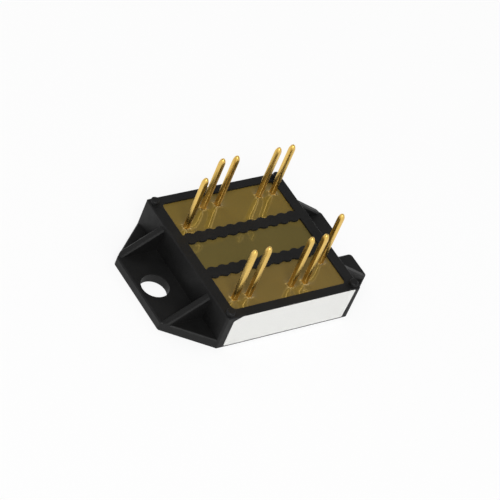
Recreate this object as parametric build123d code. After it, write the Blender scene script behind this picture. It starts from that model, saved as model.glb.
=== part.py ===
from build123d import *
import os

# A low thyristor module: a moulded frame with two screw ears is glued on a copper-clad
# ceramic plate, two thyristor dies sit on the plate, ten square pins stand up through
# a filling of clear gel. Millimetres, +Z up, origin under the middle of the base copper.
# The circuit is the same after half a turn about Z, so each half is made once and turned.

# Moulded frame
frame_width = 35.0
frame_depth = 35.5
frame_top = 9.4
frame_corner_radius = 0.5
frame_edge_break = 0.2
rim_side_width = 2.6
rim_end_width = 2.1
well_corner_radius = 1.2

# Screw ears
ear_reach = 9.75
ear_half_width = 9.6
ear_root_inset = 0.3
ear_thickness = 2.2
ear_corner_radius = 0.8
ear_edge_break = 0.25
screw_end_distance = 4.2
screw_radius = 3.2

# Gussets that brace the ears
gusset_thickness = 1.7
gusset_outset = 0.35
gusset_drop = 0.95
gusset_end_margin = 0.6
gusset_edge_break = 0.3

# Cross ribs with scalloped edges
rib_share = 0.32
rib_web_width = 2.2
scallop_radius = 1.5
scallop_count = 11
rib_depth = 4.6

# Pegs on the rim corners
peg_radius = 1.0
peg_height = 0.9
peg_inset = 1.35
peg_edge_break = 0.2

# Copper-clad ceramic plate
base_copper_thickness = 0.3
base_copper_margin = 0.7
ceramic_thickness = 0.63
ceramic_ledge = 1.1
ceramic_side_gap = 0.15
glue_thickness = 0.1
frame_clearance = 0.1
pad_thickness = 0.3
pad_wall_margin = 0.8
pad_gap = 1.2
gate_track_width = 1.8
gate_pad_width = 3.0

# Thyristor dies and their wires
die_outer_margin = 2.5
die_inner_margin = 2.0
die_track_margin = 1.8
die_pin_gap = 0.25
die_thickness = 0.35
die_solder_thickness = 0.08
die_solder_rim = 0.2
gate_contact_inset = 0.9
wire_radius = 0.22
wire_rise = 1.7
wire_foot = 0.7
wire_count = 5
wire_pitch = 1.3
wire_landing = 2.4
wire_start_inset = 3.2
gate_wire_radius = 0.13
gate_wire_rise = 1.2
gate_wire_foot = 0.4

# Square terminal pins; the tip's profile is a list of (drop from the end, share of the width)
pin_width = 1.2
pin_edge_break = 0.12
pin_tip_height = 24.0
pin_tip_profile = [(2.0, 1.0), (1.0, 0.84), (0.35, 0.58), (0.0, 0.3)]
pin_foot_width = 2.0
pin_foot_thickness = 0.45
pin_pair_pitch = 3.7
pin_row_inset = 3.0
pin_corner_inset = 2.1
pin_centre_offset = 1.95
gate_pin_side_inset = 2.35
gate_pin_row_step = 4.25

# Gel fill and blank label
gel_drop = 0.5
label_thickness = 0.1
label_left_inset = 1.95
label_right_inset = 1.1
label_bottom = 0.3
label_top_margin = 0.2
label_cut_width = 2.0
label_cut_height = 1.1

# Sizes that follow from the ones above
half_width = frame_width / 2
half_depth = frame_depth / 2
well_half_x = half_width - rim_side_width
well_half_y = half_depth - rim_end_width
ear_end = half_width + ear_reach
screw_offset = ear_end - screw_end_distance
gusset_offset = ear_half_width + gusset_outset
rib_offset = well_half_y * rib_share
ceramic_bottom = base_copper_thickness
ceramic_top = ceramic_bottom + ceramic_thickness
pad_top = ceramic_top + pad_thickness
ledge_height = ceramic_top + glue_thickness
frame_bottom = frame_clearance
ear_top = frame_bottom + ear_thickness
gel_top = frame_top - gel_drop
die_bottom = pad_top + die_solder_thickness
die_top = die_bottom + die_thickness
ceramic_half_x = well_half_x + ceramic_ledge
ceramic_half_y = well_half_y + ceramic_ledge
pad_outer_x = well_half_x - pad_wall_margin
pad_outer_y = well_half_y - pad_wall_margin
pad_inner = pad_gap / 2
pin_row_y = -(well_half_y - pin_row_inset)
corner_pin_x = -(well_half_x - pin_corner_inset)
gate_pin_x = well_half_x - gate_pin_side_inset
gate_pin_y = pin_row_y + gate_pin_row_step
die_left = -(pad_outer_x - die_outer_margin)
die_right = -(pad_inner + die_inner_margin)
die_front = pin_row_y + pin_foot_width / 2 + die_pin_gap
die_back = -(pad_inner + die_track_margin)
pin_places = [
    (corner_pin_x, pin_row_y),
    (corner_pin_x + pin_pair_pitch, pin_row_y),
    (pin_centre_offset, pin_row_y),
    (pin_centre_offset + pin_pair_pitch, pin_row_y),
    (gate_pin_x, gate_pin_y),
]


def slab(sketch, bottom, top):
    """A flat shape raised from one height to another."""
    return extrude(Pos(0, 0, bottom) * sketch, amount=top - bottom)


def field(x_from, x_to, y_from, y_to):
    """A rectangle given by its sides."""
    middle = Pos((x_from + x_to) / 2, (y_from + y_to) / 2)
    return middle * Rectangle(x_to - x_from, y_to - y_from)


def ear_outline(side):
    """The trapezoid of one ear, from inside the frame's wall out to its end."""
    root_x = half_width - frame_corner_radius
    root_y = half_depth - ear_root_inset
    corners = [(root_x, root_y), (half_width, root_y), (ear_end, ear_half_width)]
    mirrored = [(x, -y) for x, y in reversed(corners)]
    outline = make_face(Polyline(corners + mirrored, close=True))
    if side > 0:
        cut_length = screw_end_distance + screw_radius
        open_end = Pos(screw_offset + cut_length / 2, 0) * Rectangle(cut_length, 2 * screw_radius)
        outline = outline - open_end
    outline = outline - Pos(screw_offset, 0) * Circle(screw_radius)
    outline = fillet(outline.vertices().group_by(Axis.X)[-1], ear_corner_radius)
    return outline


def gusset(side_y):
    """A sloping web from under the rim down to the ear's outer corner."""
    inside = half_width - frame_corner_radius
    foot_x = ear_end - gusset_end_margin
    head_z = frame_top - gusset_drop
    profile = [
        (inside, ear_top - ear_edge_break),
        (inside, head_z),
        (half_width, head_z),
        (foot_x, ear_top),
        (foot_x, ear_top - ear_edge_break),
    ]
    web = extrude(Plane.XZ * make_face(Polyline(profile, close=True)), amount=gusset_thickness / 2, both=True)
    slope = web.faces().sort_by(lambda face: face.normal_at().Z)[-2:]
    crest = sorted(slope, key=lambda face: face.area)[-1]
    long_edges = crest.edges().filter_by(lambda edge: abs(edge.tangent_at(0.5).Y) < 0.5)
    web = chamfer(long_edges, gusset_edge_break)
    return Pos(0, side_y * gusset_offset, 0) * web


def ear(side):
    """A screw ear with its two gussets; the +X ear is an open slot."""
    outline = ear_outline(side)
    plate = slab(outline, frame_bottom, ear_top)
    rim_edges = plate.faces().sort_by(Axis.Z)[-1].outer_wire().edges()
    outer_edges = [edge for edge in rim_edges if edge.center().X > half_width]
    plate = chamfer(outer_edges, ear_edge_break)
    column = slab(outline, frame_bottom, frame_top)
    solid = plate
    for side_y in (-1, 1):
        solid = solid + (gusset(side_y) & column)
    return solid if side > 0 else Rot(0, 0, 180) * solid


def cross_rib(y):
    """A bar across the well whose long edges are scalloped."""
    bottom = frame_top - rib_depth
    pitch = 2 * well_half_x / scallop_count
    plan = Rectangle(2 * well_half_x + rim_side_width, rib_web_width)
    for index in range(scallop_count):
        x = (index - (scallop_count - 1) / 2) * pitch
        plan = plan + Pos(x, 0) * Circle(scallop_radius)
    return Pos(0, y, 0) * slab(plan, bottom, frame_top)


def peg():
    """A locating peg with a broken top edge, standing on the rim."""
    solid = slab(Circle(peg_radius), frame_top, frame_top + peg_height)
    return chamfer(solid.faces().sort_by(Axis.Z)[-1].edges(), peg_edge_break)


def housing():
    """The moulded frame: rim, cross ribs, ears, pegs and the seat for the ceramic."""
    solid = slab(RectangleRounded(frame_width, frame_depth, frame_corner_radius), frame_bottom, frame_top)
    solid = chamfer(solid.faces().sort_by(Axis.Z)[-1].edges(), frame_edge_break)
    for side_x in (-1, 1):
        solid = solid + ear(side_x)
    well = RectangleRounded(2 * well_half_x, 2 * well_half_y, well_corner_radius)
    solid = solid - slab(well, frame_bottom, frame_top)
    seat = Rectangle(
        2 * (ceramic_half_x + ceramic_side_gap),
        2 * (ceramic_half_y + ceramic_side_gap),
    )
    solid = solid - slab(seat, frame_bottom, ledge_height)
    for side_y in (-1, 1):
        solid = solid + cross_rib(side_y * rib_offset)
    for side_x in (-1, 1):
        for side_y in (-1, 1):
            place = Pos(side_x * (half_width - peg_inset), side_y * (half_depth - peg_inset))
            solid = solid + place * peg()
    return solid


def base_copper():
    """The copper layer under the ceramic, which is the cooling face."""
    plan = Rectangle(
        2 * (ceramic_half_x - base_copper_margin),
        2 * (ceramic_half_y - base_copper_margin),
    )
    return slab(plan, 0, ceramic_bottom)


def ceramic_substrate():
    """The ceramic plate that insulates the circuit from the base copper."""
    return slab(Rectangle(2 * ceramic_half_x, 2 * ceramic_half_y), ceramic_bottom, ceramic_top)


def glue_bead():
    """The ring of glue between the frame's ledge and the ceramic."""
    outer = Rectangle(2 * ceramic_half_x, 2 * ceramic_half_y)
    inner = RectangleRounded(2 * well_half_x, 2 * well_half_y, well_corner_radius)
    return slab(outer - inner, ceramic_top, ledge_height)


def anode_pad():
    """The copper pad that carries a die and the corner pair of pins."""
    return slab(field(-pad_outer_x, -pad_inner, -pad_outer_y, -pad_inner), ceramic_top, pad_top)


def cathode_pad():
    """The copper pad that carries the wires' landings and the middle pair of pins."""
    right = pad_outer_x - gate_pad_width - pad_gap
    front_edge = -(pad_inner + gate_track_width + pad_gap)
    return slab(field(pad_inner, right, -pad_outer_y, front_edge), ceramic_top, pad_top)


def gate_pad():
    """The bent copper track that leads the gate signal to the single pin."""
    track = field(pad_inner, pad_outer_x, -(pad_inner + gate_track_width), -pad_inner)
    left = pad_outer_x - gate_pad_width
    landing = field(left, pad_outer_x, gate_pin_y - gate_pad_width / 2, -pad_inner)
    return slab(track + landing, ceramic_top, pad_top)


def die_solder():
    """The solder layer under a die, a little larger than the die."""
    plan = field(
        die_left - die_solder_rim,
        die_right + die_solder_rim,
        die_front - die_solder_rim,
        die_back + die_solder_rim,
    )
    return slab(plan, pad_top, die_bottom)


def thyristor_die():
    """The silicon die with its gate contact at the corner next to the gate track."""
    return slab(field(die_left, die_right, die_front, die_back), die_bottom, die_top)


def bond_wire(start, end, rise, foot, radius):
    """An arched wire of six sides with a flat bonded foot on the die and one on a pad."""
    lift = Vector(0, 0, radius * 0.75**0.5)
    first = Vector(*start) + lift
    last = Vector(*end) + lift
    flat = Vector(last.X - first.X, last.Y - first.Y, 0)
    along = flat.normalized()
    crest_z = first.Z + rise
    near_crest = first + flat * 0.35
    far_crest = first + flat * 0.6
    path = Polyline(
        first,
        first + along * foot,
        Vector(near_crest.X, near_crest.Y, crest_z),
        Vector(far_crest.X, far_crest.Y, crest_z),
        last - along * foot,
        last,
    )
    across = Vector(-along.Y, along.X, 0)
    section = Plane(origin=first, x_dir=across, z_dir=along) * RegularPolygon(radius, 6)
    return sweep(section, path=path, transition=Transition.RIGHT)


def cathode_wires():
    """The row of thick wires from a die's cathode to the cathode pad."""
    wires = []
    middle_y = (die_front + die_back) / 2 - wire_pitch
    for index in range(wire_count):
        y = middle_y - wire_pitch * (index - (wire_count - 1) / 2)
        start = (die_right - wire_start_inset, y, die_top)
        end = (pad_inner + wire_landing, y, pad_top)
        wires.append(bond_wire(start, end, wire_rise, wire_foot, wire_radius))
    return Compound(children=wires)


def gate_wire():
    """The thin wire from a die's gate contact to the gate track."""
    start = (die_right - gate_contact_inset, die_back - gate_contact_inset, die_top)
    end = (pad_inner + gate_track_width / 2, -(pad_inner + gate_track_width / 2), pad_top)
    return bond_wire(start, end, gate_wire_rise, gate_wire_foot, gate_wire_radius)


def terminal_pin(x, y):
    """A square pin with a bullet-shaped tip, on a flat foot that is soldered to its pad."""
    foot_top = pad_top + pin_foot_thickness
    foot = slab(Rectangle(pin_foot_width, pin_foot_width), pad_top, foot_top)
    section = Rectangle(pin_width, pin_width)
    section = chamfer(section.vertices(), pin_edge_break)
    rings = [Pos(0, 0, pin_tip_height - drop) * scale(section, share) for drop, share in pin_tip_profile]
    shank = slab(section, foot_top, pin_tip_height - pin_tip_profile[0][0])
    solid = foot + shank
    for lower, upper in zip(rings, rings[1:]):
        solid = solid + loft([lower.face(), upper.face()])
    return Pos(x, y) * solid


def gel_fill(frame, inner_pieces):
    """The clear gel that fills the well round everything inside it."""
    well = RectangleRounded(2 * well_half_x, 2 * well_half_y, well_corner_radius)
    gel = slab(well, ceramic_top, gel_top) - frame
    for piece in inner_pieces:
        gel = gel - piece
    return gel


def blank_label():
    """A thin sticker on the front wall with one cut corner and no print."""
    left = -half_width + label_left_inset
    right = half_width - label_right_inset
    top = frame_top - label_top_margin
    corners = [
        (left, label_bottom),
        (right, label_bottom),
        (right, top),
        (left + label_cut_width, top),
        (left, top - label_cut_height),
    ]
    face = Plane.XZ * make_face(Polyline(corners, close=True))
    return Pos(0, -half_depth, 0) * extrude(face, amount=label_thickness)


def half_circuit(number):
    """All pieces of one thyristor's circuit; the second is the first after half a turn."""
    turn = Rot(0, 0, 180 * (number - 1))
    pieces = {
        "anode_pad": anode_pad(),
        "cathode_pad": cathode_pad(),
        "gate_pad": gate_pad(),
        "die_solder": die_solder(),
        "thyristor_die": thyristor_die(),
        "cathode_wires": cathode_wires(),
        "gate_wire": gate_wire(),
    }
    pin_names = ["anode_pin_a", "anode_pin_b", "cathode_pin_a", "cathode_pin_b", "gate_pin"]
    for name, (x, y) in zip(pin_names, pin_places):
        pieces[name] = terminal_pin(x, y)
    return {f"{name}_{number}": turn * shape for name, shape in pieces.items()}


frame_solid = housing()
circuit = {**half_circuit(1), **half_circuit(2)}
nodes = {
    "housing": frame_solid,
    "base_copper": base_copper(),
    "ceramic_substrate": ceramic_substrate(),
    "glue_bead": glue_bead(),
    "blank_label": blank_label(),
    "gel_fill": gel_fill(frame_solid, circuit.values()),
    **circuit,
}

os.makedirs("parts", exist_ok=True)
for node_name, shape in nodes.items():
    export_step(shape, f"parts/{node_name}.step")
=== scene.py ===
import math

import bmesh
import bpy
from mathutils import Matrix, Vector


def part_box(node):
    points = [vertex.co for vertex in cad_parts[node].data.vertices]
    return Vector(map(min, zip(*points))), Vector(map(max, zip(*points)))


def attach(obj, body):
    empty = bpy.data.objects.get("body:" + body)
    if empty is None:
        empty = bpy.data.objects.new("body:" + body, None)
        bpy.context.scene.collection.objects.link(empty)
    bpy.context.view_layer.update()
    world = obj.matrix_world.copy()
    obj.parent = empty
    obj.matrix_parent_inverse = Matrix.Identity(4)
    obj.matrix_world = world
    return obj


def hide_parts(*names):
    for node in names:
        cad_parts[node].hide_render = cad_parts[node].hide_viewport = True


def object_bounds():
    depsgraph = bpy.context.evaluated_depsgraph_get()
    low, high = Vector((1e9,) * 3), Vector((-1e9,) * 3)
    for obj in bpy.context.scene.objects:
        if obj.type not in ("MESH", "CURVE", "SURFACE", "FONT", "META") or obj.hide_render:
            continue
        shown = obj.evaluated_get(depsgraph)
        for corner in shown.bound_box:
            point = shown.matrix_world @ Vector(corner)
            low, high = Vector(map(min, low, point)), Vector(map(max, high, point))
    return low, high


# A low thyristor module on a white table: a black moulded frame with two screw ears,
# a filling of glossy brown gel, ten gold-plated square pins and a blank white label.
# Everything is in metres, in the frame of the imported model, unless a name or a comment says
# millimetres.

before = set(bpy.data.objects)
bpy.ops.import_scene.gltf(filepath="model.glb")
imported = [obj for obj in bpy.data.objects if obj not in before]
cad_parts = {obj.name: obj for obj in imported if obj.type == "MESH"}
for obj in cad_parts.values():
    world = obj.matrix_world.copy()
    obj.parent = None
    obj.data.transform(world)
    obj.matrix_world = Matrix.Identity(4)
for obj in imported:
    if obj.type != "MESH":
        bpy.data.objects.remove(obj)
cad_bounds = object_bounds()
MM = 0.001

# Camera: the photograph's viewpoint, with lens and sensor in millimetres
camera_target = (5.56 * MM, 5.19 * MM, 0.3 * MM)
camera_azimuth = math.radians(-48.38)
camera_elevation = math.radians(42.11)
camera_roll = math.radians(24.39)
camera_distance = 575.5 * MM
camera_lens = 189.35
camera_sensor = 36.0

# Sky: even daylight for matt surfaces. What the camera and gloss see of it is a list of
# (height, tone), near for the side behind the camera and far for the rest. One turns into
# the other over a range of the direction's share along the camera's heading.
daylight = 0.4
near_sky_tones = [(0.0, 1.0), (0.3, 0.9), (1.0, 0.7)]
far_sky_tones = [(0.0, 1.0), (0.2, 0.75), (0.5, 0.2), (0.65, 0.08)]
sky_turnover = (-0.55, -0.05)

# Softboxes: place, width, height and power in watts
softboxes = {
    "key_light": ((-0.35, -0.45, 0.6), 0.5, 0.5, 4.5),
    "back_strip": ((-0.08, 0.55, 0.5), 0.35, 0.5, 1.0),
    "right_strip": ((0.55, -0.05, 0.5), 0.35, 0.5, 1.0),
}
softbox_aim = (0.0, 0.0, 8 * MM)

# Table: a hair below the part, and partly glowing where it is seen
table_half_size = 1.5
table_gap = 0.05 * MM
table_colour = (0.9, 0.9, 0.9)
table_glow_share = 0.85

# Terminal pins: the tip's profile is a list of (drop below the end in millimetres, share of
# the diagonal), and each pin is turned about its own axis by some degrees
pin_width = 1.2 * MM
pin_face_crown = 0.05 * MM
pin_face_cuts = 5
pin_edge_radius = 0.09 * MM
pin_edge_segments = 3
pin_foot_width = 2.0 * MM
pin_foot_height = 0.45 * MM
pin_smooth_angle = 32.0
pin_tip_profile = [
    (2.0, 1.0), (1.45, 0.93), (1.0, 0.83), (0.65, 0.71), (0.4, 0.59),
    (0.22, 0.46), (0.1, 0.33), (0.03, 0.19), (0.0, 0.06),
]
pin_turns = {
    "anode_pin_a_1": -3.0, "anode_pin_b_1": -1.0, "cathode_pin_a_1": -2.0, "cathode_pin_b_1": 1.0,
    "gate_pin_1": 2.0, "anode_pin_a_2": -3.0, "anode_pin_b_2": 9.0, "cathode_pin_a_2": 7.0,
    "cathode_pin_b_2": 8.0, "gate_pin_2": 3.0,
}

# Gold of the pins: wear roughens it, from nothing at the first drop below the end to all of
# it at the second
pin_top_mm = cad_bounds[1][2] / MM
gold_tones = [(0.12, (0.73, 0.48, 0.12)), (0.38, (0.83, 0.565, 0.165))]
gold_roughness = (0.24, 0.3)
gold_wear_roughness = 0.13
gold_wear_drops_mm = (2.0, 0.3)

# Label film: how far it stops short of its solid, its slanted right end and its cut corner
label_bottom_trim = 0.22 * MM
label_right_trim = 0.35 * MM
label_right_slant = 0.3 * MM
label_cut_width = 2.0 * MM
label_cut_height = 1.1 * MM
label_corner_radius = 0.3 * MM
label_corner_segments = 6
label_smooth_angle = 30.0

# Cross ribs in the well: their place as a share of its half depth, and their scallops
rib_share = 0.32
rib_web_half = 1.1 * MM
scallop_radius = 1.5 * MM
scallop_count = 11

# Gel surface: a grid, finer near the pins, that climbs what it touches and has soft waves
gel_grid_step = 0.25 * MM
gel_fine_cuts = 3
gel_fine_radius = 1.6 * MM
gel_overlap = 0.15 * MM
gel_wall_rise = 0.05 * MM
gel_wall_reach = 0.3 * MM
gel_pin_rise = 0.23 * MM
gel_pin_reach = 0.85 * MM
gel_wave_height = 0.012 * MM
gel_wave_lengths = (2.1 * MM, 1.7 * MM)
gel_wave_phase = 1.3
gel_smooth_angle = 60.0

# Gel colours: tones from the front of the well to its back, which clouds shift by a share of
# the way, and painted glints and reflections of the pins beside them. The middle bay has less gloss.
gel_tones = [
    (0.10, (0.195, 0.130, 0.028)), (0.38, (0.185, 0.124, 0.028)), (0.47, (0.130, 0.099, 0.027)),
    (0.66, (0.124, 0.095, 0.027)), (0.76, (0.180, 0.122, 0.022)), (1.0, (0.190, 0.128, 0.022)),
]
gel_tone_reach_mm = 16.0
gel_tone_wander = 0.16
gel_middle_gloss = 0.2
# Painted glints and reflections of the gold pins in the gel around their bases, dark brown to pale gold
gel_pin_glint_tones = [(0.4, (0.11, 0.07, 0.014)), (0.5, (0.25, 0.165, 0.04)), (0.6, (0.52, 0.37, 0.12))]
gel_pin_glint_size_mm = 0.38
gel_pin_glint_reach = 0.4 * MM
gel_glint_zone_roughness = 0.45

# Between these two values lies most of what a noise gives
noise_range = (0.3, 0.7)

# Distances within which two places count as one
cut_tolerance = 1e-7
ring_tolerance = 1e-6


# Helpers for objects and meshes


def add_object(name, data):
    """Puts a mesh, a lamp or a camera into the scene as an object."""
    new_object = bpy.data.objects.new(name, data)
    bpy.context.scene.collection.objects.link(new_object)
    return new_object


def add_mesh_object(name, mesh, material):
    """Puts a finished bmesh into the scene as an object of one material."""
    data = bpy.data.meshes.new(name)
    mesh.to_mesh(data)
    mesh.free()
    data.materials.append(material)
    return add_object(name, data)


def centre_of(node_name):
    """The middle of a CAD node's box."""
    low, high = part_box(node_name)
    return (low + high) / 2


def verts_in(geometry):
    """The vertices among what an operator gives back."""
    return [element for element in geometry if isinstance(element, bmesh.types.BMVert)]


def cut_mesh(mesh, place, normal, clear_outer=False):
    """Cuts the whole mesh along a plane, and may clear what lies beyond it."""
    bmesh.ops.bisect_plane(mesh, geom=mesh.verts[:] + mesh.edges[:] + mesh.faces[:], dist=cut_tolerance,
                           plane_co=place, plane_no=normal, clear_outer=clear_outer)


def scale_from_axis(vert, centre, factor):
    """Scales a vertex's distance from the upright axis through the centre."""
    vert.co.x = centre.x + (vert.co.x - centre.x) * factor
    vert.co.y = centre.y + (vert.co.y - centre.y) * factor


def extrude_face_to(mesh, face, height, width_factor, centre):
    """Extrudes a face to a height, scales its outline about the centre and returns the new face."""
    moved = bmesh.ops.extrude_face_region(mesh, geom=[face])["geom"]
    for vert in verts_in(moved):
        vert.co.z = height
        scale_from_axis(vert, centre, width_factor)
    bmesh.ops.delete(mesh, geom=[face], context="FACES_ONLY")
    return next(element for element in moved if isinstance(element, bmesh.types.BMFace))


def finish_piece(name, mesh, slot, replaced_node, smooth_angle):
    """Makes a finished bmesh into a piece that rides on the body and stands for a CAD node."""
    bmesh.ops.recalc_face_normals(mesh, faces=mesh.faces)
    piece = add_mesh_object(name, mesh, finishes[slot])
    for polygon in piece.data.polygons:
        polygon.use_smooth = True
    piece.data.set_sharp_from_angle(angle=math.radians(smooth_angle))
    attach(piece, "root")
    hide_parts(replaced_node)


# Helpers for node trees


def add_node(tree, kind, **settings):
    """Adds a shader node. A setting is for the socket of that name, or else for the property."""
    node = tree.nodes.new(kind)
    for key, value in settings.items():
        socket = key.replace("_", " ")
        if socket in node.inputs:
            node.inputs[socket].default_value = value
        else:
            setattr(node, key, value)
    return node


def calculate(tree, operation, *values):
    """A Math node's result. Each value is a number or another node's output."""
    node = add_node(tree, "ShaderNodeMath", operation=operation)
    for socket, value in zip(node.inputs, values):
        if isinstance(value, float):
            socket.default_value = value
        else:
            tree.links.new(value, socket)
    return node.outputs[0]


def map_range(tree, value, source, target=(0.0, 1.0), **settings):
    """Maps a value from one range to another, and keeps it in there."""
    node = add_node(tree, "ShaderNodeMapRange", From_Min=source[0], From_Max=source[1],
                    To_Min=target[0], To_Max=target[1], **settings)
    tree.links.new(value, node.inputs["Value"])
    return node.outputs["Result"]


def colour_ramp(tree, factor, stops):
    """A colour ramp; stops are (position, colour) pairs."""
    node = add_node(tree, "ShaderNodeValToRGB")
    elements = node.color_ramp.elements
    while len(elements) < len(stops):
        elements.new(0.5)
    for element, (position, colour) in zip(elements, stops):
        element.position = position
        element.color = (*colour, 1.0)
    tree.links.new(factor, node.inputs["Fac"])
    return node.outputs["Color"]


def grey_ramp(tree, factor, tones):
    """A ramp of greys; tones are (position, tone) pairs."""
    return colour_ramp(tree, factor, [(position, (tone, tone, tone)) for position, tone in tones])


def mix_colours(tree, factor, first, second):
    """Mixes two colours: the first at factor 0, the second at 1. They are sockets 6 and 7."""
    node = add_node(tree, "ShaderNodeMix", data_type="RGBA")
    tree.links.new(factor, node.inputs["Factor"])
    tree.links.new(first, node.inputs[6])
    tree.links.new(second, node.inputs[7])
    return node.outputs[2]


def mix_shaders(tree, factor, first, second):
    """Mixes two shaders: the first at factor 0, the second at 1."""
    node = add_node(tree, "ShaderNodeMixShader")
    tree.links.new(factor, node.inputs["Fac"])
    tree.links.new(first, node.inputs[1])
    tree.links.new(second, node.inputs[2])
    return node.outputs[0]


def seen_directly(tree):
    """1 for camera, glossy and transmission rays, 0 for the rays that only carry light."""
    rays = add_node(tree, "ShaderNodeLightPath").outputs
    camera_or_glossy = calculate(tree, "MAXIMUM", rays["Is Camera Ray"], rays["Is Glossy Ray"])
    return calculate(tree, "MAXIMUM", camera_or_glossy, rays["Is Transmission Ray"])


class Finish:
    """A procedural material on Object coordinates, built round one Principled shader.

    The colour and roughness given first are for formats that carry no nodes.
    """

    def __init__(self, name, colour, roughness, **sockets):
        self.material = bpy.data.materials.new(name)
        self.material.use_nodes = True
        self.tree = self.material.node_tree
        self.shader = self.tree.nodes["Principled BSDF"]
        self.coords = add_node(self.tree, "ShaderNodeTexCoord").outputs["Object"]
        self.shader.inputs["Base Color"].default_value = (*colour, 1.0)
        self.shader.inputs["Roughness"].default_value = roughness
        for socket, value in sockets.items():
            self.shader.inputs[socket.replace("_", " ")].default_value = value

    def feed(self, socket, source):
        """Links a node's output to a socket of the shader."""
        self.tree.links.new(source, self.shader.inputs[socket])

    def stretched(self, scale):
        """Object coordinates in millimetres, stretched by a factor along each axis."""
        mapping = add_node(self.tree, "ShaderNodeMapping", Scale=[factor / MM for factor in scale])
        self.tree.links.new(self.coords, mapping.inputs["Vector"])
        return mapping.outputs["Vector"]

    def along(self, axis):
        """The place along one axis, in millimetres."""
        split = add_node(self.tree, "ShaderNodeSeparateXYZ")
        self.tree.links.new(self.stretched((1, 1, 1)), split.inputs["Vector"])
        return split.outputs[axis]

    def attribute(self, name):
        """A number that the vertices of the piece carry."""
        return add_node(self.tree, "ShaderNodeAttribute", attribute_name=name).outputs["Fac"]

    def noise(self, size, detail=3.0, roughness=0.55, stretch=(1, 1, 1)):
        """Soft noise whose blobs are about size millimetres."""
        node = add_node(self.tree, "ShaderNodeTexNoise", Detail=detail, Roughness=roughness, Scale=1.0)
        self.tree.links.new(self.stretched([factor / size for factor in stretch]), node.inputs["Vector"])
        return node.outputs["Fac"]

    def spread(self, noise, low, high):
        """Maps a noise's range onto low to high."""
        return map_range(self.tree, noise, noise_range, (low, high))

    def shades(self, noise, dark, light):
        """Runs from one colour to another over a noise's range."""
        return colour_ramp(self.tree, noise, list(zip(noise_range, (dark, light))))

    def bump(self, height, distance_mm, strength, edge_radius_mm=0.0):
        """Fine relief, on edges that look broken by a radius."""
        node = add_node(self.tree, "ShaderNodeBump", Distance=distance_mm * MM, Strength=strength)
        self.tree.links.new(height, node.inputs["Height"])
        if edge_radius_mm:
            bevel = add_node(self.tree, "ShaderNodeBevel", samples=4, Radius=edge_radius_mm * MM)
            self.tree.links.new(bevel.outputs["Normal"], node.inputs["Normal"])
        self.feed("Normal", node.outputs["Normal"])


# Finishes


def black_moulding():
    """Glass-filled black thermoplastic with a fine spark-eroded grain."""
    finish = Finish("black_moulding", (0.005, 0.005, 0.005), 0.55, Specular_IOR_Level=0.25)
    patches = finish.noise(size=6.0, detail=4.0)
    finish.feed("Base Color", finish.shades(patches, (0.0036, 0.0036, 0.0036), (0.0064, 0.0064, 0.0062)))
    finish.feed("Roughness", finish.spread(finish.noise(size=2.2, detail=5.0), 0.5, 0.62))
    grain = finish.noise(size=0.11, detail=4.0, roughness=0.6)
    finish.bump(grain, distance_mm=0.02, strength=0.35, edge_radius_mm=0.12)
    return finish.material


def gold_plate():
    """Thin gold over nickel, drawn along the pin, duller on the turned tip."""
    finish = Finish("gold_plate", (0.80, 0.54, 0.15), 0.16, Metallic=1.0)
    drawn = finish.noise(size=0.22, detail=4.0, roughness=0.6, stretch=(1, 1, 0.06))
    cloud = finish.noise(size=2.4)
    streaks = calculate(finish.tree, "MULTIPLY", drawn, cloud)
    finish.feed("Base Color", colour_ramp(finish.tree, streaks, gold_tones))
    worn_heights = [pin_top_mm - drop for drop in gold_wear_drops_mm]
    wear = map_range(finish.tree, finish.along("Z"), worn_heights, (0.0, gold_wear_roughness))
    polish = finish.spread(cloud, *gold_roughness)
    finish.feed("Roughness", calculate(finish.tree, "ADD", polish, wear))
    finish.bump(drawn, distance_mm=0.006, strength=0.3)
    return finish.material


def brown_gel():
    """Olive brown potting gel under a glossy skin, darker and less glossy in the middle bay.

    Beside the pins it loses its skin and turns rougher, under painted gold glints and dark reflections of the
    pins.
    """
    finish = Finish("brown_gel", (0.15, 0.107, 0.032), 0.12, IOR=1.41, Specular_IOR_Level=0.5,
                    Coat_Weight=1.0, Coat_IOR=1.85, Coat_Roughness=0.03)
    from_front = map_range(finish.tree, finish.along("Y"), (-gel_tone_reach_mm, gel_tone_reach_mm))
    clouds = finish.noise(size=9.0, roughness=0.5, stretch=(1, 1, 0.2))
    wandering = calculate(finish.tree, "MULTIPLY_ADD", clouds, gel_tone_wander, from_front)
    body = colour_ramp(finish.tree, wandering, gel_tones)
    # Painted glints and reflections of the gold pins, mixed into the colour near each pin's base
    painted_pin_glints = colour_ramp(finish.tree, finish.noise(size=gel_pin_glint_size_mm, detail=1.5), gel_pin_glint_tones)
    nearness = finish.attribute("pin_nearness")
    # Near the pins the colour turns to the painted pin glints and reflections
    finish.feed("Base Color", mix_colours(finish.tree, nearness, body, painted_pin_glints))
    finish.feed("Coat Weight", finish.attribute("gloss"))
    polish = finish.spread(finish.noise(size=5.0, detail=2.0), 0.05, 0.12)
    finish.feed("Roughness", calculate(finish.tree, "MULTIPLY_ADD", nearness, gel_glint_zone_roughness, polish))
    finish.bump(finish.noise(size=1.6, detail=2.0), distance_mm=0.01, strength=0.3)
    return finish.material


def white_film():
    """The white face of a blank printed-label film."""
    finish = Finish("white_film", (0.85, 0.85, 0.825), 0.42)
    fibre = finish.noise(size=0.35, detail=5.0, roughness=0.6)
    finish.feed("Base Color", finish.shades(fibre, (0.83, 0.83, 0.805), (0.865, 0.865, 0.84)))
    finish.feed("Roughness", finish.spread(finish.noise(size=1.5), 0.36, 0.48))
    finish.bump(fibre, distance_mm=0.006, strength=0.3)
    return finish.material


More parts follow.
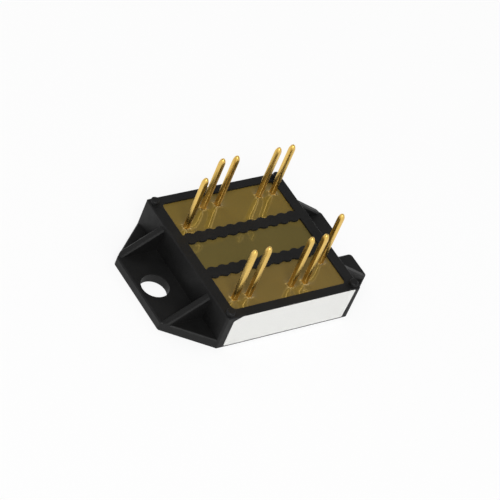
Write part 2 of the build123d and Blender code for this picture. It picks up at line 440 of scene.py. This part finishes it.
def bare_metal(name, dark, light, roughness, grain_mm):
    """A plain metal with a fine rolled grain and some tarnish."""
    finish = Finish(name, light, roughness, Metallic=1.0)
    finish.feed("Base Color", finish.shades(finish.noise(size=3.5, detail=4.0), dark, light))
    polish = finish.noise(size=1.2, detail=4.0)
    finish.feed("Roughness", finish.spread(polish, roughness * 0.8, roughness * 1.3))
    grain = finish.noise(size=grain_mm, detail=4.0, roughness=0.6, stretch=(1, 0.08, 1))
    finish.bump(grain, distance_mm=0.01, strength=0.3)
    return finish.material


def dull_mineral(name, dark, light, roughness, grain_mm, **sockets):
    """A plain finish with a fine even grain, for ceramic, silicon and glue."""
    finish = Finish(name, light, roughness, **sockets)
    finish.feed("Base Color", finish.shades(finish.noise(size=2.0, detail=4.0), dark, light))
    finish.feed("Roughness", finish.spread(finish.noise(size=1.0), roughness * 0.85, roughness * 1.2))
    grain = finish.noise(size=grain_mm, detail=4.0, roughness=0.6)
    finish.bump(grain, distance_mm=0.01, strength=0.3)
    return finish.material


# One finish for each of the record's material slots
finishes = {
    "frame_plastic": black_moulding(),
    "gold_plate": gold_plate(),
    "gel": brown_gel(),
    "label_film": white_film(),
    "copper": bare_metal("bare_copper", (0.62, 0.25, 0.14), (0.80, 0.38, 0.23), 0.32, 0.15),
    "bond_aluminium": bare_metal("bond_aluminium", (0.62, 0.62, 0.63), (0.80, 0.80, 0.81), 0.3, 0.08),
    "solder": bare_metal("soft_solder", (0.42, 0.42, 0.43), (0.60, 0.60, 0.61), 0.4, 0.3),
    "ceramic_plate": dull_mineral("white_alumina", (0.72, 0.71, 0.67), (0.82, 0.81, 0.78), 0.55, 0.08),
    "silicon": dull_mineral("silicon_die", (0.10, 0.10, 0.12), (0.16, 0.16, 0.19), 0.2, 0.2, Metallic=0.7),
    "glue": dull_mineral("frame_glue", (0.42, 0.40, 0.35), (0.55, 0.53, 0.48), 0.45, 0.3),
}


def dress_cad_nodes():
    """Gives every CAD node a finish, by its name or by the last word in it that is known."""
    slot_of_node = {"housing": "frame_plastic", "base_copper": "copper", "ceramic_substrate": "ceramic_plate",
                    "glue_bead": "glue", "blank_label": "label_film", "gel_fill": "gel"}
    slot_of_kind = {"pad": "copper", "solder": "solder", "die": "silicon", "wire": "bond_aluminium",
                    "wires": "bond_aluminium", "pin": "gold_plate"}
    for name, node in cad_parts.items():
        slot = slot_of_node.get(name)
        if slot is None:
            slot = next(slot_of_kind[word] for word in reversed(name.split("_")) if word in slot_of_kind)
        node.data.materials.clear()
        node.data.materials.append(finishes[slot])


# Pieces


def crowned_square(mesh, centre, height):
    """The pin's section as one face: a square whose sides bulge from its corners."""
    half = pin_width / 2
    bmesh.ops.create_grid(mesh, x_segments=1, y_segments=1, size=half,
                          matrix=Matrix.Translation((centre.x, centre.y, height)))
    bmesh.ops.subdivide_edges(mesh, edges=mesh.edges[:], cuts=pin_face_cuts)
    for vert in mesh.verts:
        across, along = sorted((vert.co.x - centre.x, vert.co.y - centre.y), key=abs)
        sink = pin_face_crown * (across / half) ** 2
        scale_from_axis(vert, centre, (half - sink) / abs(along))
    return mesh.faces[:][0]


def turn_tip(mesh, centre, top):
    """Turns the pin's end to a bullet, which takes the corners first and the flats last."""
    diagonal = pin_width / math.sqrt(2)
    rings = {top - drop * MM: diagonal * share for drop, share in pin_tip_profile}
    for height in rings:
        if height < top:
            cut_mesh(mesh, (0, 0, height), (0, 0, 1))
    for vert in mesh.verts:
        for height, radius in rings.items():
            if abs(vert.co.z - height) < ring_tolerance:
                from_axis = math.hypot(vert.co.x - centre.x, vert.co.y - centre.y)
                scale_from_axis(vert, centre, min(1.0, radius / from_axis))


def is_arris(edge, centre):
    """Tells the long edges at the four corners of a pin's shank, which its crown pulls in."""
    start, end = (vert.co for vert in edge.verts)
    long_enough = abs(start.z - end.z) > pin_foot_height
    corner = pin_width / 2 - 1.5 * pin_face_crown
    return long_enough and min(abs(start.x - centre.x), abs(start.y - centre.y)) > corner


def terminal_pin(node_name):
    """A square pin with crowned faces, small round edges and a turned tip, on its flat foot."""
    low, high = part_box(node_name)
    centre = centre_of(node_name)
    mesh = bmesh.new()
    section = crowned_square(mesh, centre, low.z + pin_foot_height)
    shank = bmesh.ops.extrude_face_region(mesh, geom=[section])["geom"]
    for vert in verts_in(shank):
        vert.co.z = high.z
    arrises = [edge for edge in mesh.edges if is_arris(edge, centre)]
    bmesh.ops.bevel(mesh, geom=arrises, offset=pin_edge_radius, segments=pin_edge_segments, profile=0.5,
                    affect="EDGES", material=-1, clamp_overlap=True)
    turn_tip(mesh, centre, high.z)
    turn = Matrix.Rotation(math.radians(pin_turns[node_name]), 3, "Z")
    bmesh.ops.rotate(mesh, verts=mesh.verts[:], cent=centre, matrix=turn)
    underside = min(mesh.faces, key=lambda face: face.calc_center_median().z)
    flange = extrude_face_to(mesh, underside, low.z + pin_foot_height, pin_foot_width / pin_width, centre)
    extrude_face_to(mesh, flange, low.z, 1.0, centre)
    finish_piece("plated_" + node_name, mesh, "gold_plate", node_name, pin_smooth_angle)


def label_film():
    """The blank film on the front wall, which leaves a dark line below it and a strip beside it."""
    low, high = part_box("blank_label")
    left, right = low.x, high.x - label_right_trim
    bottom, top = low.z + label_bottom_trim, high.z
    mesh = bmesh.new()
    bmesh.ops.create_grid(mesh, x_segments=1, y_segments=1, size=0.5)
    bmesh.ops.rotate(mesh, verts=mesh.verts, cent=(0, 0, 0), matrix=Matrix.Rotation(math.pi / 2, 3, "X"))
    bmesh.ops.scale(mesh, vec=(right - left, 1.0, top - bottom), verts=mesh.verts)
    bmesh.ops.translate(mesh, vec=((left + right) / 2, high.y, (bottom + top) / 2), verts=mesh.verts)
    lower_right = max(mesh.verts, key=lambda vert: vert.co.x - vert.co.z)
    lower_right.co.x -= label_right_slant
    slant_normal = (-label_cut_height, 0, label_cut_width)
    cut_mesh(mesh, (left, 0, top - label_cut_height), slant_normal, clear_outer=True)
    bmesh.ops.bevel(mesh, geom=mesh.verts[:], offset=label_corner_radius, segments=label_corner_segments,
                    profile=0.5, affect="VERTICES", material=-1, clamp_overlap=True)
    front = bmesh.ops.extrude_face_region(mesh, geom=mesh.faces[:])["geom"]
    bmesh.ops.translate(mesh, vec=(0, low.y - high.y, 0), verts=verts_in(front))
    finish_piece("label_film", mesh, "label_film", "blank_label", label_smooth_angle)


def wall_gap(x, y, half_x, half_y):
    """Distance from a point on the gel to the nearest wall or scalloped rib, at least zero."""
    wall = min(half_x - abs(x), half_y - abs(y))
    rib_middle = abs(abs(y) - half_y * rib_share)
    pitch = 2 * half_x / scallop_count
    last = scallop_count - 1
    index = min(max(round(x / pitch + last / 2), 0), last)
    scallop = math.hypot(x - (index - last / 2) * pitch, rib_middle) - scallop_radius
    return max(min(wall, scallop, rib_middle - rib_web_half), 0.0)


def pin_gap(x, y, centre):
    """Distance from a point on the gel to the side of one square pin, at least zero."""
    dx = max(abs(x - centre.x) - pin_width / 2, 0.0)
    dy = max(abs(y - centre.y) - pin_width / 2, 0.0)
    return math.hypot(dx, dy)


def gel_height(x, y, half_x, half_y, pins):
    """How far the gel stands above its level: it climbs walls, ribs and pins."""
    rise = gel_wall_rise * math.exp(-wall_gap(x, y, half_x, half_y) / gel_wall_reach)
    wave_x, wave_y = gel_wave_lengths
    rise += gel_wave_height * math.sin(x / wave_x + gel_wave_phase) * math.cos(y / wave_y)
    for centre in pins:
        rise += gel_pin_rise * math.exp(-pin_gap(x, y, centre) / gel_pin_reach)
    return rise


def gel_grid(half_x, half_y, pins):
    """A flat grid over the well and a little into its walls, finer near the pins."""
    mesh = bmesh.new()
    bmesh.ops.create_grid(mesh, x_segments=round(2 * half_x / gel_grid_step),
                          y_segments=round(2 * half_y / gel_grid_step), size=1.0)
    bmesh.ops.scale(mesh, vec=(half_x + gel_overlap, half_y + gel_overlap, 1.0), verts=mesh.verts)
    fine_faces = set()
    for face in mesh.faces:
        middle = face.calc_center_median()
        if min(math.hypot(middle.x - pin.x, middle.y - pin.y) for pin in pins) < gel_fine_radius:
            fine_faces.add(face)
    fine_edges = [edge for edge in mesh.edges if not fine_faces.isdisjoint(edge.link_faces)]
    bmesh.ops.subdivide_edges(mesh, edges=fine_edges, cuts=gel_fine_cuts, use_grid_fill=True)
    return mesh


def gel_body():
    """The gel with its true surface, closed down to the ceramic."""
    low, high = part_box("gel_fill")
    half_x = (high.x - low.x) / 2
    half_y = (high.y - low.y) / 2
    pins = [centre_of(name) for name in pin_turns]
    mesh = gel_grid(half_x, half_y, pins)
    nearness = mesh.verts.layers.float.new("pin_nearness")
    gloss = mesh.verts.layers.float.new("gloss")
    for vert in mesh.verts:
        vert.co.z = high.z + gel_height(vert.co.x, vert.co.y, half_x, half_y, pins)
        gap = min(pin_gap(vert.co.x, vert.co.y, centre) for centre in pins)
        # The mask for the painted glints and reflections of the pins, and for the rougher, less glossy gel
        # there
        vert[nearness] = math.exp(-(gap / gel_pin_glint_reach) ** 2)
        between_ribs = abs(vert.co.y) < half_y * rib_share
        vert[gloss] = (gel_middle_gloss if between_ribs else 1.0) * (1.0 - vert[nearness])
    rim = [edge for edge in mesh.edges if edge.is_boundary]
    walls = bmesh.ops.extrude_edge_only(mesh, edges=rim)["geom"]
    for vert in verts_in(walls):
        vert.co.z = low.z
    foot = [edge for edge in mesh.edges if edge.is_boundary]
    bmesh.ops.contextual_create(mesh, geom=foot)
    finish_piece("gel_body", mesh, "gel", "gel_fill", gel_smooth_angle)


# Stage


def table_finish():
    """Matt white that glows for the rays that see it, so that it shows white and keeps a shadow."""
    material = bpy.data.materials.new("white_table")
    material.use_nodes = True
    tree = material.node_tree
    tree.nodes.clear()
    matt = add_node(tree, "ShaderNodeBsdfDiffuse", Color=(*table_colour, 1.0))
    glow = add_node(tree, "ShaderNodeEmission")
    share = calculate(tree, "MULTIPLY", seen_directly(tree), table_glow_share)
    surface = mix_shaders(tree, share, matt.outputs[0], glow.outputs[0])
    output = add_node(tree, "ShaderNodeOutputMaterial")
    tree.links.new(surface, output.inputs["Surface"])
    return material


def build_table():
    """The table under the part."""
    mesh = bmesh.new()
    bmesh.ops.create_grid(mesh, x_segments=2, y_segments=2, size=table_half_size)
    bmesh.ops.translate(mesh, vec=(0, 0, -table_gap), verts=mesh.verts)
    add_mesh_object("table", mesh, table_finish())


def sky_tone(tree):
    """What the camera and gloss see of the sky: dark high up, except behind the camera."""
    direction = add_node(tree, "ShaderNodeTexCoord").outputs["Generated"]
    split = add_node(tree, "ShaderNodeSeparateXYZ")
    tree.links.new(direction, split.inputs["Vector"])
    ahead = add_node(tree, "ShaderNodeVectorMath", operation="DOT_PRODUCT")
    ahead.inputs[1].default_value = (-math.sin(camera_azimuth), math.cos(camera_azimuth), 0.0)
    tree.links.new(direction, ahead.inputs[0])
    turnover = map_range(tree, ahead.outputs["Value"], sky_turnover, interpolation_type="SMOOTHSTEP")
    near = grey_ramp(tree, split.outputs["Z"], near_sky_tones)
    far = grey_ramp(tree, split.outputs["Z"], far_sky_tones)
    return mix_colours(tree, turnover, near, far)


def build_world():
    """Even daylight on the part, with a toned sky for the rays that see it."""
    world = bpy.data.worlds.new("studio")
    bpy.context.scene.world = world
    world.use_nodes = True
    tree = world.node_tree
    tree.nodes.clear()
    light = add_node(tree, "ShaderNodeBackground", Strength=daylight)
    shown = add_node(tree, "ShaderNodeBackground")
    tree.links.new(sky_tone(tree), shown.inputs["Color"])
    surface = mix_shaders(tree, seen_directly(tree), light.outputs[0], shown.outputs[0])
    output = add_node(tree, "ShaderNodeOutputWorld")
    tree.links.new(surface, output.inputs["Surface"])


def build_softbox(name, place, width, height, power):
    """A rectangular area lamp that faces the part."""
    lamp = bpy.data.lights.new(name, "AREA")
    lamp.shape = "RECTANGLE"
    lamp.size = width
    lamp.size_y = height
    lamp.energy = power
    holder = add_object(name, lamp)
    holder.location = place
    aim = Vector(softbox_aim) - Vector(place)
    holder.rotation_euler = aim.to_track_quat("-Z", "Y").to_euler()


def build_camera():
    """The camera of the photograph, placed by direction, distance and roll."""
    away = Vector((
        math.sin(camera_azimuth) * math.cos(camera_elevation),
        -math.cos(camera_azimuth) * math.cos(camera_elevation),
        math.sin(camera_elevation),
    ))
    right = (-away).cross(Vector((0, 0, 1))).normalized()
    up = right.cross(-away)
    rolled_right = right * math.cos(camera_roll) + up * math.sin(camera_roll)
    rolled_up = up * math.cos(camera_roll) - right * math.sin(camera_roll)
    camera = bpy.data.cameras.new("camera")
    camera.lens = camera_lens
    camera.sensor_width = camera_sensor
    holder = add_object("camera", camera)
    place = Vector(camera_target) + away * camera_distance
    turn = Matrix((rolled_right, rolled_up, away)).transposed().to_4x4()
    holder.matrix_world = Matrix.Translation(place) @ turn
    bpy.context.scene.camera = holder


# Assembly

dress_cad_nodes()
for pin_node in pin_turns:
    terminal_pin(pin_node)
gel_body()
label_film()
build_table()
build_world()
for softbox_name, softbox in softboxes.items():
    build_softbox(softbox_name, *softbox)
build_camera()
bpy.context.scene.view_settings.view_transform = "Standard"
